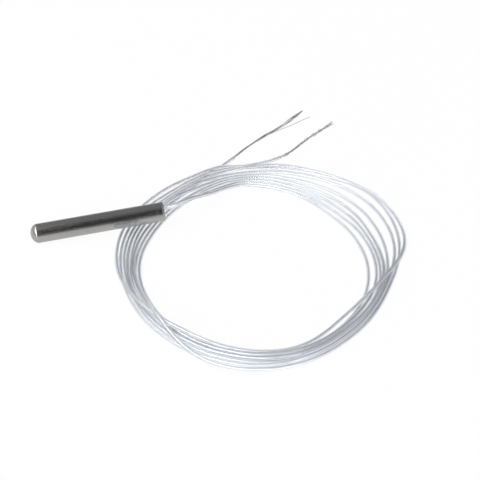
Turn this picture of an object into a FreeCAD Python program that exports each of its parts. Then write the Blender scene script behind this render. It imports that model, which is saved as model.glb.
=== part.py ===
"""RTD probe lying on a surface: a closed steel sheath with a thin-film platinum element inside,
and two clear-insulated leads that are wound together in one loose coil and end in bare strands.

Frame: +Z up, floor at z = 0, +X from the domed tip to the open end of the sheath.
The origin is below the middle of the sheath. Lengths are millimetres, angles are degrees."""

import FreeCAD, Part
import math
import os
import Sketcher
from FreeCAD import Placement, Rotation, Vector

# Driving dimensions: alias, number, what it is
DIMENSIONS = (
    ("sheath_diameter", 6.35, "sheath, outside diameter"),
    ("sheath_length", 44.0, "sheath, tip to open end"),
    ("sheath_wall", 0.5, "sheath, wall"),
    ("crown_radius", 3.7, "sheath tip, radius of the crown"),
    ("knuckle_radius", 2.0, "sheath tip, radius between crown and wall"),
    ("edge_round", 0.6, "sheath, rounding of the rolled lip at the open end"),
    ("roll_setback", 2.0, "rolled groove, distance from the open end"),
    ("roll_radius", 8.3, "rolled groove, radius of the roller"),
    ("roll_depth", 0.015, "rolled groove, depth"),
    ("lie_angle", 4.0, "angle at which the sheath lies, open end up"),
    ("lead_diameter", 1.25, "lead, over the insulation"),
    ("conductor_diameter", 0.6, "lead, over the strands"),
    ("lead_spacing", 1.5, "distance between the two leads in the sheath"),
    ("lead_rise", 1.25, "distance of the pair of leads from the sheath's axis"),
    ("lead_turn", 60.0, "angle of the pair of leads about the sheath's axis"),
    ("seal_start", 37.4, "end seal, front face from the tip"),
    ("seal_end", 43.4, "end seal, back face from the tip"),
    ("chip_start", 2.4, "element, front edge from the tip"),
    ("chip_length", 5.0, "element substrate, length"),
    ("chip_width", 2.0, "element substrate, width"),
    ("chip_thickness", 0.65, "element substrate, thickness"),
    ("film_thickness", 0.04, "platinum film, thickness"),
    ("track_width", 0.12, "platinum film, width of the track"),
    ("track_pitch", 0.21, "platinum film, distance between legs of the track"),
    ("track_length", 3.2, "platinum film, length of a leg"),
    ("pad_length", 0.95, "platinum film, length of a contact pad"),
    ("bond_depth", 0.02, "element leads, how deep they are pressed into the pads"),
    ("cover_length", 3.6, "glass cover, length"),
    ("cover_thickness", 0.25, "glass cover, thickness"),
    ("bead_height", 0.55, "lead bead, height over the substrate"),
    ("bead_round", 0.3, "lead bead, rounding of its top"),
    ("element_wire", 0.25, "element leads, diameter"),
    ("element_wire_start", 6.45, "element leads, front end from the tip"),
    ("crimp_start", 15.5, "splice crimp, front end from the tip"),
    ("crimp_step", 17.0, "splice crimp, where its bore widens"),
    ("crimp_end", 19.5, "splice crimp, back end from the tip"),
    ("sleeve_start", 14.9, "splice sleeve, front end from the tip"),
    ("sleeve_end", 21.2, "splice sleeve, back end from the tip"),
    ("sleeve_diameter", 1.45, "splice sleeve, outside diameter"),
    ("coil_outer_long", 50.0, "coil, outer half length"),
    ("coil_outer_short", 46.1, "coil, outer half width"),
    ("coil_inner_long", 37.6, "coil, inner half length"),
    ("coil_inner_short", 34.3, "coil, inner half width"),
    ("coil_height", 2.5, "coil, height of two layers"),
    ("coil_flat_height", 1.3, "coil, height of the one layer under the sheath"),
    ("coil_flat_width", 9.6, "coil, width of the one-layer stretch"),
    ("coil_flat_length", 24.5, "coil, length of the one-layer stretch"),
)
TRACK_LEGS = 8

# Where the coil's two outlines lie: centre, and the direction of the long axis
COIL_OUTER_CENTRE, COIL_OUTER_ANGLE = Vector(50.3, -19.9, 0), 47.5
COIL_INNER_CENTRE, COIL_INNER_ANGLE = Vector(47.0, -23.9, 0), 98.6

# Each lead from the open end of the sheath into the coil; its first run goes straight on out of the sheath
EXIT_RUN = 3.6
EXIT_ROUTE = {
    1: ((28.9, 2.5, 7.36), (32.1, 4.8, 6.44), (35.8, 7.2, 5.0), (39.6, 9.7, 3.56), (43.4, 12.5, 2.27),
        (47.2, 14.6, 1.35), (51.0, 15.75, 0.95)),
    2: ((29.0, 3.2, 6.31), (32.2, 5.7, 5.64), (35.8, 8.5, 4.4), (39.6, 11.2, 3.06), (43.4, 14.0, 1.87),
        (47.2, 16.1, 1.2), (51.0, 17.3, 0.9)),
}
# Each lead from the coil to the tip of its bare strands, and how many of its bends are still insulated
TAIL_ROUTE = {
    1: ((40.0, 22.4, 0.64), (45.0, 26.9, 0.64), (48.6, 29.75, 0.64), (52.6, 33.2, 0.64), (57.2, 37.4, 0.64),
        (64.6, 43.0, 0.44), (71.8, 47.6, 0.34), (77.2, 52.0, 0.32), (82.5, 56.8, 0.32)),
    2: ((52.0, 26.0, 0.64), (57.0, 26.2, 0.64), (62.2, 27.0, 0.64), (65.2, 27.85, 0.64), (69.4, 29.65, 0.64),
        (72.2, 31.4, 0.64), (76.6, 35.4, 0.46), (81.0, 39.2, 0.36), (86.2, 42.7, 0.32), (92.0, 46.8, 0.32)),
}
INSULATED_BENDS = {1: 2, 2: 3}
SIDE = {1: -1, 2: 1}

doc = FreeCAD.newDocument("rtd_probe")
sheet = doc.addObject("Spreadsheet::Sheet", "Dimensions")
for row, (alias, number, note) in enumerate(DIMENSIONS, start=1):
    sheet.set(f"A{row}", note)
    sheet.set(f"B{row}", str(number))
    sheet.setAlias(f"B{row}", alias)
doc.recompute()


class Size:
    """A number together with the formula on the sheet that gives it."""

    def __init__(self, number, formula):
        self.number = number
        self.formula = formula

    def __add__(self, other):
        other = as_size(other)
        return Size(self.number + other.number, f"({self.formula} + {other.formula})")

    def __sub__(self, other):
        other = as_size(other)
        return Size(self.number - other.number, f"({self.formula} - {other.formula})")

    def __mul__(self, other):
        other = as_size(other)
        return Size(self.number * other.number, f"({self.formula} * {other.formula})")

    def __truediv__(self, other):
        other = as_size(other)
        return Size(self.number / other.number, f"({self.formula} / {other.formula})")

    def __neg__(self):
        return Size(-self.number, f"(-{self.formula})")


def as_size(value):
    return value if isinstance(value, Size) else Size(value, str(value))


def size(alias):
    return Size(float(sheet.get(alias)), f"{sheet.Name}.{alias}")


def root(value):
    return Size(math.sqrt(value.number), f"sqrt({value.formula})")


def bind(target, name, value):
    """Ties a property or a constraint to the sheet."""
    target.setExpression(name, as_size(value).formula)


# Sizes that several pieces share
radius = size("sheath_diameter") / 2
bore = radius - size("sheath_wall")
crown = size("crown_radius")
knuckle = size("knuckle_radius")
length = size("sheath_length")
crown_gap = crown - knuckle
dome_axial = root(crown_gap * crown_gap - (radius - knuckle) * (radius - knuckle))
dome_depth = crown - dome_axial
roll_centre = length - size("roll_setback")
roll_rise = size("roll_radius") - size("roll_depth")
bulge_radius = size("roll_radius") + size("sheath_wall")
bulge_rise = roll_rise + size("sheath_wall")
bulge_reach = root(bulge_radius * bulge_radius - bulge_rise * bulge_rise)
groove_reach = root(size("roll_radius") * size("roll_radius") - roll_rise * roll_rise)
lead_radius = size("lead_diameter") / 2
conductor_radius = size("conductor_diameter") / 2
wire_radius = size("element_wire") / 2
chip_top = size("bond_depth") - wire_radius - size("film_thickness")

# The sheath lies with its tip on the floor and its open end over the coil. The pieces in it lie along it,
# those of the leads beside its axis
tilt = math.radians(size("lie_angle").number)
axis = Vector(math.cos(tilt), 0, math.sin(tilt))
wall_start_height = (radius - knuckle).number * math.cos(tilt) + knuckle.number
reach_back = crown.number - dome_axial.number * math.cos(tilt)
reach_ahead = (
    (length - dome_depth - size("edge_round")).number * math.cos(tilt)
    + (radius - size("edge_round")).number * math.sin(tilt)
    + size("edge_round").number
)
wall_start = Vector((reach_back - reach_ahead) / 2, 0, wall_start_height)
tip = wall_start - axis * dome_depth.number
LYING = Placement(tip, Rotation(Vector(0, 1, 0), -size("lie_angle").number))
TURNED = LYING * Placement(Vector(), Rotation(Vector(1, 0, 0), -size("lead_turn").number))
RAISED = TURNED * Placement(Vector(0, 0, size("lead_rise").number), Rotation())


def beside(side):
    """Placement of a piece that is made on the axis and belongs to the lead on that side."""
    return RAISED * Placement(Vector(0, side * size("lead_spacing").number / 2, 0), Rotation())


def add_body(label, placement):
    body = doc.addObject("PartDesign::Body", label)
    body.Label = label
    body.Placement = placement
    return body


def add_sketch(body, name, role, offset=None):
    """Sketch on one of the body's origin planes, moved along the plane's normal by the offset."""
    plane = next(feature for feature in body.Origin.OriginFeatures if feature.Role == role)
    sketch = body.newObject("Sketcher::SketchObject", name)
    sketch.AttachmentSupport = (plane, [""])
    sketch.MapMode = "FlatFace"
    if offset is not None:
        bind(sketch, "AttachmentOffset.Base.z", offset)
    return sketch


def hold_point(sketch, geometry, point, across, up, tag):
    """Fixes a point of the sketch at its two distances from the sketch's origin."""
    for kind, value, line in (("DistanceX", across, -2), ("DistanceY", up, -1)):
        value = as_size(value)
        if abs(value.number) < 1e-9:
            sketch.addConstraint(Sketcher.Constraint("PointOnObject", geometry, point, line))
            continue
        ends = (-1, 1, geometry, point) if value.number > 0 else (geometry, point, -1, 1)
        distance = value if value.number > 0 else -value
        index = sketch.addConstraint(Sketcher.Constraint(kind, *ends, distance.number))
        sketch.renameConstraint(index, f"{kind}_{tag}")
        bind(sketch, f"Constraints.{kind}_{tag}", distance)


def draw_outline(sketch, corners):
    """Closed outline. A corner is (across, up), or (across, up, radius, way) where an arc leaves it,
    way 1 for an arc that turns left and -1 for one that turns right."""
    spots = [Vector(as_size(c[0]).number, as_size(c[1]).number, 0) for c in corners]
    starts = []
    for index, corner in enumerate(corners):
        here, there = spots[index], spots[(index + 1) % len(spots)]
        if len(corner) == 2:
            starts.append((sketch.addGeometry(Part.LineSegment(here, there)), 1, 2))
            continue
        bend, way = as_size(corner[2]), corner[3]
        chord = there - here
        sagitta_leg = math.sqrt(bend.number**2 - (chord.Length / 2) ** 2)
        left = Vector(-chord.y, chord.x, 0).normalize()
        centre = (here + there) / 2 + left * (way * sagitta_leg)
        first, last = (here, there) if way > 0 else (there, here)
        angles = [math.atan2(spot.y - centre.y, spot.x - centre.x) for spot in (first, last)]
        circle = Part.Circle(centre, Vector(0, 0, 1), bend.number)
        geometry = sketch.addGeometry(Part.ArcOfCircle(circle, angles[0], angles[1]))
        starts.append((geometry, 1, 2) if way > 0 else (geometry, 2, 1))
        constraint = sketch.addConstraint(Sketcher.Constraint("Radius", geometry, bend.number))
        sketch.renameConstraint(constraint, f"Radius_{index}")
        bind(sketch, f"Constraints.Radius_{index}", bend)
    for index, (geometry, first, last) in enumerate(starts):
        following = starts[(index + 1) % len(starts)]
        sketch.addConstraint(Sketcher.Constraint("Coincident", geometry, last, following[0], following[1]))
        hold_point(sketch, geometry, first, corners[index][0], corners[index][1], index)


def draw_circle(sketch, across, up, circle_radius, tag):
    spot = Vector(as_size(across).number, as_size(up).number, 0)
    geometry = sketch.addGeometry(Part.Circle(spot, Vector(0, 0, 1), circle_radius.number))
    index = sketch.addConstraint(Sketcher.Constraint("Radius", geometry, circle_radius.number))
    sketch.renameConstraint(index, f"Radius_{tag}")
    bind(sketch, f"Constraints.Radius_{tag}", circle_radius)
    hold_point(sketch, geometry, 3, across, up, tag)


def turned(label, corners, placement):
    """Body turned about the axis from an outline of (distance from the tip, distance from the axis)."""
    body = add_body(label, placement)
    sketch = add_sketch(body, f"{label}_outline", "XY_Plane")
    draw_outline(sketch, corners)
    feature = body.newObject("PartDesign::Revolution", f"{label}_turned")
    feature.Profile = sketch
    feature.ReferenceAxis = (sketch, ["H_Axis"])
    feature.Angle = 360
    return body


def block(label, start, block_length, width, bottom, height):
    """Box centred across the pair of leads; start is from the tip, bottom is over the leads' axes."""
    box = doc.addObject("Part::Box", label)
    box.Label = label
    bind(box, "Length", block_length)
    bind(box, "Width", width)
    bind(box, "Height", height)
    corner = Vector(as_size(start).number, -as_size(width).number / 2, as_size(bottom).number)
    box.Placement = RAISED * Placement(corner, Rotation())
    return box


def cut(label, base, tools):
    """The base less the pieces that it surrounds."""
    tool = tools[0]
    if len(tools) > 1:
        tool = doc.addObject("Part::MultiFuse", f"{label}_surrounds")
        tool.Shapes = tools
    result = doc.addObject("Part::Cut", label)
    result.Label = label
    result.Base = base
    result.Tool = tool
    return result


def dome_corners(shell, way):
    """Crown and knuckle of the tip, from the axis outwards, for a face this far inside the outer one."""
    inner_crown, inner_knuckle = crown - shell, knuckle - shell
    along = crown - inner_crown * dome_axial / crown_gap
    out = inner_crown * (radius - knuckle) / crown_gap
    return [
        (crown - inner_crown, 0, inner_crown, way),
        (along, out, inner_knuckle, way),
        (dome_depth, radius - shell),
    ]


# Sheath, turned with the rolled groove that shows inside as a bulge and a lip rolled in at the open end
lip = size("edge_round")
wall = size("sheath_wall")
outer_dome = dome_corners(as_size(0.0), -1)
inner_dome = dome_corners(size("sheath_wall"), -1)
sheath = turned(
    "sheath",
    outer_dome
    + [
        (roll_centre - groove_reach, radius, size("roll_radius"), 1),
        (roll_centre + groove_reach, radius),
        (length - lip, radius, lip, -1),
        (length, radius - lip),
        (length - wall, radius - lip, lip - wall, 1),
        (length - lip, bore),
        (roll_centre + bulge_reach, bore, bulge_radius, -1),
        (roll_centre - bulge_reach, bore),
        (dome_depth, bore, knuckle - size("sheath_wall"), 1),
        (inner_dome[1][0], inner_dome[1][1], crown - size("sheath_wall"), 1),
        (inner_dome[0][0], 0),
    ],
    LYING,
)

# End seal with the groove's bulge pressed into it and a hole for each lead
end_seal = turned(
    "end_seal",
    [
        (size("seal_start"), 0),
        (size("seal_start"), bore),
        (roll_centre - bulge_reach, bore, bulge_radius, 1),
        (roll_centre + bulge_reach, bore),
        (size("seal_end"), bore),
        (size("seal_end"), 0),
    ],
    TURNED,
)
lead_holes = add_sketch(end_seal, "end_seal_lead_holes", "YZ_Plane")
for lead, side in SIDE.items():
    draw_circle(lead_holes, size("lead_spacing") / 2 * side, size("lead_rise"), lead_radius, lead)
drilled = end_seal.newObject("PartDesign::Pocket", "end_seal_drilled")
drilled.Profile = lead_holes
drilled.Type = "Length"
drilled.Reversed = True
bind(drilled, "Length", length)

# Potting between the splices and the end seal
potting = add_body("potting", TURNED)
potting_section = add_sketch(potting, "potting_section", "YZ_Plane", size("sleeve_end"))
draw_circle(potting_section, 0.0, 0.0, bore, 0)
for lead, side in SIDE.items():
    draw_circle(potting_section, size("lead_spacing") / 2 * side, size("lead_rise"), lead_radius, lead)
cast = potting.newObject("PartDesign::Pad", "potting_cast")
cast.Profile = potting_section
bind(cast, "Length", size("seal_start") - size("sleeve_end"))

# Thin-film element: substrate, platinum track with two pads, glass cover, and the bead over the leads' roots
element_substrate = block(
    "element_substrate", size("chip_start"), size("chip_length"), size("chip_width"),
    chip_top - size("chip_thickness"), size("chip_thickness"),
)


def platinum_track():
    """Legs side by side along the chip, joined in turn at front and back, a pad behind each outer leg."""
    width, pitch, leg = (size(a).number for a in ("track_width", "track_pitch", "track_length"))
    thick, pad, level = size("film_thickness").number, size("pad_length").number, chip_top.number
    front = size("chip_start").number + 0.2
    first = -(TRACK_LEGS - 1) * pitch / 2 - width / 2
    boxes = []
    for leg_index in range(TRACK_LEGS):
        boxes.append(Part.makeBox(leg, width, thick, Vector(front, first + leg_index * pitch, level)))
    for link_index in range(TRACK_LEGS - 1):
        end = front if link_index % 2 == 0 else front + leg - width
        corner = Vector(end, first + link_index * pitch, level)
        boxes.append(Part.makeBox(width, pitch + width, thick, corner))
    pad_start = front + leg
    for lead_side in SIDE.values():
        outer_leg = lead_side * (-first - width / 2)
        pad_middle = lead_side * size("lead_spacing").number / 2
        boxes.append(Part.makeBox(0.3, width, thick, Vector(pad_start - 0.1, outer_leg - width / 2, level)))
        boxes.append(Part.makeBox(pad, 0.42, thick, Vector(pad_start + 0.15, pad_middle - 0.21, level)))
    return boxes[0].multiFuse(boxes[1:]).removeSplitter()


film_blank = doc.addObject("Part::Feature", "film_blank")
film_blank.Shape = platinum_track()
film_blank.Placement = RAISED

element_leads = {}
for lead, side in SIDE.items():
    wire = doc.addObject("Part::Cylinder", f"element_lead_{lead}")
    wire.Label = f"element_lead_{lead}"
    bind(wire, "Radius", wire_radius)
    bind(wire, "Height", size("crimp_step") - size("element_wire_start"))
    along_axis = Placement(Vector(size("element_wire_start").number, 0, 0), Rotation(Vector(0, 1, 0), 90))
    wire.Placement = beside(side) * along_axis
    element_leads[lead] = wire
platinum_film = cut("platinum_film", film_blank, list(element_leads.values()))

cover_blank = block(
    "cover_blank", size("chip_start") + 0.1, size("cover_length"), size("chip_width") - 0.1,
    chip_top, size("cover_thickness"),
)
glass_cover = cut("glass_cover", cover_blank, [platinum_film])

bead_blank = add_body("bead_blank", RAISED)
bead_start = size("chip_start") + size("cover_length") + 0.1
bead_section = add_sketch(bead_blank, "bead_section", "YZ_Plane", bead_start)
half_width = size("chip_width") / 2 - 0.05
bead_top = chip_top + size("bead_height")
draw_outline(
    bead_section,
    [
        (-half_width, chip_top),
        (half_width, chip_top),
        (half_width, bead_top - size("bead_round"), size("bead_round"), 1),
        (half_width - size("bead_round"), bead_top),
        (size("bead_round") - half_width, bead_top, size("bead_round"), 1),
        (-half_width, bead_top - size("bead_round")),
    ],
)
bead_pad = bead_blank.newObject("PartDesign::Pad", "bead_pad")
bead_pad.Profile = bead_section
bind(bead_pad, "Length", size("chip_length") - size("cover_length") - 0.1)
lead_bead = cut("lead_bead", bead_blank, [platinum_film, *element_leads.values()])

# Splices: a crimp with a stepped bore on each element lead and conductor, and a sleeve over it
crimps, sleeves = {}, {}
for lead, side in SIDE.items():
    crimps[lead] = turned(
        f"splice_crimp_{lead}",
        [
            (size("crimp_start"), wire_radius),
            (size("crimp_step"), wire_radius),
            (size("crimp_step"), conductor_radius),
            (size("crimp_end"), conductor_radius),
            (size("crimp_end"), lead_radius),
            (size("crimp_start"), lead_radius),
        ],
        beside(side),
    )
    sleeves[lead] = turned(
        f"splice_sleeve_{lead}",
        [
            (size("sleeve_start"), lead_radius),
            (size("sleeve_end"), lead_radius),
            (size("sleeve_end"), size("sleeve_diameter") / 2),
            (size("sleeve_start"), size("sleeve_diameter") / 2),
        ],
        beside(side),
    )

# Filler around the element and the splices, as far as the potting
filler_blank = turned(
    "filler_blank",
    [
        (inner_dome[0][0], 0, crown - size("sheath_wall"), -1),
        (inner_dome[1][0], inner_dome[1][1], knuckle - size("sheath_wall"), -1),
        (dome_depth, bore),
        (size("sleeve_end"), bore),
        (size("sleeve_end"), 0),
    ],
    TURNED,
)


def splice_space(lead, side):
    """Room that a splice takes up in the filler, its sleeve with all that the sleeve holds."""
    room = doc.addObject("Part::Cylinder", f"splice_space_{lead}")
    bind(room, "Radius", lead_radius)
    bind(room, "Height", size("sleeve_end") - size("crimp_start"))
    along_axis = Placement(Vector(size("crimp_start").number, 0, 0), Rotation(Vector(0, 1, 0), 90))
    room.Placement = beside(side) * along_axis
    return room


tip_filler = cut(
    "tip_filler",
    filler_blank,
    [element_substrate, platinum_film, glass_cover, lead_bead]
    + list(element_leads.values())
    + list(sleeves.values())
    + [splice_space(lead, side) for lead, side in SIDE.items()],
)

# Coil of both leads: a low ring between two ovals, one layer high where the sheath lies over it
ovals = []
for name, centre, angle in (
    ("outer", COIL_OUTER_CENTRE, COIL_OUTER_ANGLE),
    ("inner", COIL_INNER_CENTRE, COIL_INNER_ANGLE),
):
    oval = doc.addObject("Part::Ellipse", f"coil_{name}")
    bind(oval, "MajorRadius", size(f"coil_{name}_long"))
    bind(oval, "MinorRadius", size(f"coil_{name}_short"))
    oval.Placement = Placement(centre, Rotation(Vector(0, 0, 1), angle))
    ovals.append(oval)
coil_face = doc.addObject("Part::Face", "coil_face")
coil_face.Sources = ovals
coil_face.FaceMakerClass = "Part::FaceMakerBullseye"
coil_ring = doc.addObject("Part::Extrusion", "coil_ring")
coil_ring.Base = coil_face
coil_ring.DirMode = "Custom"
coil_ring.Dir = Vector(0, 0, 1)
coil_ring.Solid = True
bind(coil_ring, "LengthFwd", size("coil_height"))
coil_flat = doc.addObject("Part::Box", "coil_flat")
bind(coil_flat, "Length", size("coil_flat_length"))
bind(coil_flat, "Width", size("coil_flat_width"))
bind(coil_flat, "Height", size("coil_height"))
coil_flat.Placement = Placement(
    Vector(0, -size("coil_flat_width").number / 2, size("coil_flat_height").number), Rotation()
)
lead_coil = cut("lead_coil", coil_ring, [coil_flat])
doc.recompute()


def cord_edges(points, name):
    """Straight runs joined by tangent arcs, each arc as large as its two runs allow."""
    edges, bends = [], []
    start = points[0]
    for before, corner, after in zip(points, points[1:], points[2:]):
        back, ahead = before - corner, after - corner
        turn = math.pi - back.getAngle(ahead)
        reach = 0.45 * min(back.Length, ahead.Length)
        bend = reach / math.tan(turn / 2)
        back.normalize()
        ahead.normalize()
        entry, leave = corner + back * reach, corner + ahead * reach
        middle = corner + (back + ahead).normalize() * (bend / math.cos(turn / 2) - bend)
        edges.append(Part.LineSegment(start, entry).toShape())
        edges.append(Part.Arc(entry, middle, leave).toShape())
        bends.append(round(bend, 1))
        start = leave
    edges.append(Part.LineSegment(start, points[-1]).toShape())
    print(f"{name}: bend radii {bends}")
    return edges


def cord_solid(edges, cord_radius):
    """Round section carried along the path, checked against section times length."""
    first, begin = edges[0], edges[0].FirstParameter
    section = Part.makeCircle(cord_radius, first.valueAt(begin), first.tangentAt(begin))
    path = Part.Wire(edges)
    solid = path.makePipeShell([Part.Wire(section)], True, False)
    expected = math.pi * cord_radius**2 * path.Length
    if abs(solid.Volume / expected - 1) > 0.001:
        raise RuntimeError(f"cord volume {solid.Volume:.4f} instead of {expected:.4f}")
    return solid


def add_cord(label, shape):
    feature = doc.addObject("Part::Feature", label)
    feature.Label = label
    feature.Shape = shape.cut(lead_coil.Shape)
    feature.Placement = Placement()
    return feature


# Leads: conductor and insulation from the splice to the coil, then from the coil to the bare tip
lead_parts = []
for lead, side in SIDE.items():
    place = beside(side)
    open_end = place.multVec(Vector(length.number, 0, 0))
    exit_points = [open_end, open_end + axis * EXIT_RUN] + [Vector(*p) for p in EXIT_ROUTE[lead]]
    exit_edges = cord_edges(exit_points, f"lead {lead} to the coil")
    inside = {}
    for name, alias in (("conductor", "crimp_step"), ("insulation", "crimp_end")):
        inner_end = place.multVec(Vector(size(alias).number, 0, 0))
        last = exit_edges[0].valueAt(exit_edges[0].LastParameter)
        inside[name] = [Part.LineSegment(inner_end, last).toShape()] + exit_edges[1:]
    core = cord_solid(inside["conductor"], conductor_radius.number)
    jacket = cord_solid(inside["insulation"], lead_radius.number)
    lead_parts.append(add_cord(f"lead_{lead}_conductor", core))
    lead_parts.append(add_cord(f"lead_{lead}_insulation", jacket.cut(core)))

    tail_edges = cord_edges([Vector(*p) for p in TAIL_ROUTE[lead]], f"lead {lead} from the coil")
    strands = cord_solid(tail_edges, conductor_radius.number)
    tail = cord_solid(tail_edges[: 2 * INSULATED_BENDS[lead]], lead_radius.number)
    lead_parts.append(add_cord(f"lead_{lead}_tail", tail.cut(strands)))
    lead_parts.append(add_cord(f"lead_{lead}_strands", strands))
doc.recompute()

NODES = [
    sheath, end_seal, potting, tip_filler, element_substrate, platinum_film, glass_cover, lead_bead,
    *element_leads.values(), *crimps.values(), *sleeves.values(), lead_coil, *lead_parts,
]

failed = [o.Label for o in doc.Objects if "Invalid" in o.State or "Error" in o.State]
if failed:
    raise RuntimeError(f"objects that failed: {failed}")
for node in NODES:
    if node.Shape.isNull() or not node.Shape.isValid() or len(node.Shape.Solids) != 1:
        raise RuntimeError(f"{node.Label} is not one valid solid")

os.makedirs("parts", exist_ok=True)
for node in NODES:
    node.Shape.Solids[0].exportStep(f"parts/{node.Label}.step")
    print(f"{node.Label}: {node.Shape.Volume:.3f} mm3")
print(f"open end of the sheath at {LYING.multVec(Vector(length.number, 0, 0))}, axis {axis}")
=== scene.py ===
"""Looks of a two-wire RTD probe: a polished steel sheath with two clear-covered leads in a loose coil."""

import math
from typing import NamedTuple

import bpy
import numpy as np
from bpy.props import FloatProperty, FloatVectorProperty, IntProperty, PointerProperty
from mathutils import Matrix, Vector


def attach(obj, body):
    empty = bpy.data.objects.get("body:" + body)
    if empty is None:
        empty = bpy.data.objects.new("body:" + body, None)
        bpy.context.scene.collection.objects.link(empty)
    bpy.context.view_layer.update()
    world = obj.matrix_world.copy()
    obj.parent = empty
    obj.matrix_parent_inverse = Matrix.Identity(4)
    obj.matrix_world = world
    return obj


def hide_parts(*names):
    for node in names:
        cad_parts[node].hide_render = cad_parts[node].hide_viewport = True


bl_info = {
    "name": "RTD Probe",
    "version": (1, 0, 0),
    "blender": (4, 5, 0),
    "location": "3D View > Sidebar > RTD Probe",
    "description": "Builds the looks of an RTD probe around its packed CAD frame",
    "category": "Object",
}

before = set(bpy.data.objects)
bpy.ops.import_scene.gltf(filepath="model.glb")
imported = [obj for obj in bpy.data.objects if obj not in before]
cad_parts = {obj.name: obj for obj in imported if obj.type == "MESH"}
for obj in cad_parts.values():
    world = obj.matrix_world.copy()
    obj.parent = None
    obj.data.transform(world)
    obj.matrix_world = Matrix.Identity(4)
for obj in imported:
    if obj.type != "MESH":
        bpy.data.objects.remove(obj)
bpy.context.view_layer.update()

MM = 0.001
UP = np.array((0.0, 0.0, 1.0))
ACROSS = np.array((0.0, 1.0, 0.0))
SHARP_EDGE = math.radians(40.0)
UV_NAME = "UVMap"

# Routes, places and distances from here to the room are in millimetres.
# Open end of the sheath, the direction in which it faces and the one that rises from it
OPEN_END = np.array((21.8604, 0.0, 6.069))
LIE_ANGLE = math.radians(4.0)
AXIS = np.array((math.cos(LIE_ANGLE), 0.0, math.sin(LIE_ANGLE)))
RISE = np.cross(AXIS, ACROSS)

# Points on each stretch of the sheath's outline, outside and inside
OUTER_POINTS = {"crown": 25, "knuckle": 20, "wall": 40, "groove": 17, "lip": 16}
INNER_POINTS = {"lip": 6, "wall": 24, "knuckle": 14, "crown": 16}

# Each lead's place in the open end: across the axis, and over it
LEAD_SEAT = {1: (0.708, 1.275), 2: (1.458, -0.025)}
# Distances along the axis from the open end at which a lead runs straight
STRAIGHT_RUN = (-27.0, -12.0, -3.0, 3.6)
# Where the cover starts on its lead, and how far the core stays inside it at the other end
COVER_START = 2.5
CORE_INSET = 0.3

# Route of each lead from the open end into the coil, and how many of its last points are free to settle
EXIT_ROUTE = {
    1: ((28.9, 2.5, 7.36), (32.1, 4.8, 6.44), (35.8, 7.2, 5.0), (39.6, 9.7, 3.56), (43.4, 12.5, 2.27),
        (47.2, 14.6, 1.35), (51.0, 15.75, 0.95)),
    2: ((29.0, 3.2, 6.31), (32.2, 5.7, 5.64), (35.8, 8.5, 4.4), (39.6, 11.2, 3.06), (43.4, 14.0, 1.87),
        (47.2, 16.1, 1.2), (51.0, 17.3, 0.9)),
}
FREE_EXITS = 2
# Route of each lead from its last turn to the tip of its bare strands
LEAVING_ROUTE = {
    1: ((23.6, 9.0, 0.64), (28.6, 13.0, 0.64), (34.2, 17.6, 0.64)),
    2: ((41.6, 25.2, 0.9), (46.8, 26.1, 0.64)),
}
TAIL_ROUTE = {
    1: ((40.0, 22.4, 0.64), (45.0, 26.9, 0.64), (48.6, 29.75, 0.64), (52.6, 33.2, 0.64), (57.2, 37.4, 0.64),
        (64.6, 43.0, 0.44), (71.8, 47.6, 0.34), (77.2, 52.0, 0.32), (82.5, 56.8, 0.32)),
    2: ((52.0, 26.0, 0.64), (57.0, 26.2, 0.64), (62.2, 27.0, 0.64), (65.2, 27.85, 0.64), (69.4, 29.65, 0.64),
        (72.2, 31.4, 0.64), (76.6, 35.4, 0.46), (81.0, 39.2, 0.36), (86.2, 42.7, 0.32), (92.0, 46.8, 0.32)),
}
# Where each lead's cover ends, and the route of the stray strand
STRIP_POINT = {1: (50.6, 31.5, 0.64), 2: (67.3, 28.75, 0.64)}
STRAY_ROUTE = (
    (64.2, 42.3, 0.5), (67.5, 44.2, 0.42), (72.0, 46.4, 0.25), (76.8, 48.6, 0.14), (80.6, 50.7, 0.12),
    (84.4, 52.4, 0.12),
)
# Points between two control points of a route
ROUTE_SAMPLES = 10
# Points this near to a cut of a line are left out
CUT_MARGIN = 0.02

# The coil: radius of each turn at twelve stations, and how many leads it lies on there.
# The stations go clockwise from the back, seen from above, some degrees and points apart
COIL_CENTRE = np.array((51.0, -20.5))
FIRST_ANGLE = 90.0
STATION_STEP = 30.0
STATION_POINTS = 5
LANES = {
    1: (
        (36.2, 32.6, 30.0, 31.4, 34.6, 38.4, 42.4, 42.9, 42.0, 40.1, 37.2, 37.0),
        (38.8, 35.7, 34.7, 35.6, 38.5, 39.9, 43.7, 44.2, 43.4, 42.7, 41.7, 39.9),
        (41.4, 40.0, 40.2, 39.6, 40.0, 41.4, 45.0, 45.5, 44.8, 44.6, 44.4, 42.8),
        (44.0, 46.6, 48.3, 45.2, 41.4, 43.0, 46.4, 48.4, 43.6, 41.6, 40.2),
    ),
    2: (
        (37.5, 34.0, 32.3, 34.2, 37.0, 39.15, 43.05, 43.5, 42.7, 41.4, 38.7, 38.4),
        (40.1, 37.8, 37.0, 36.9, 39.25, 40.65, 44.35, 44.85, 44.1, 43.5, 43.1, 41.4),
        (42.7, 43.4, 44.5, 43.2, 40.7, 42.2, 45.7, 46.8, 46.2, 45.3, 46.0, 44.3),
        (45.3, 45.4, 47.7, 47.2, 39.3, 36.5, 41.1, 41.6, 43.9, 46.5, 47.7, 45.8),
    ),
}
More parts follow.
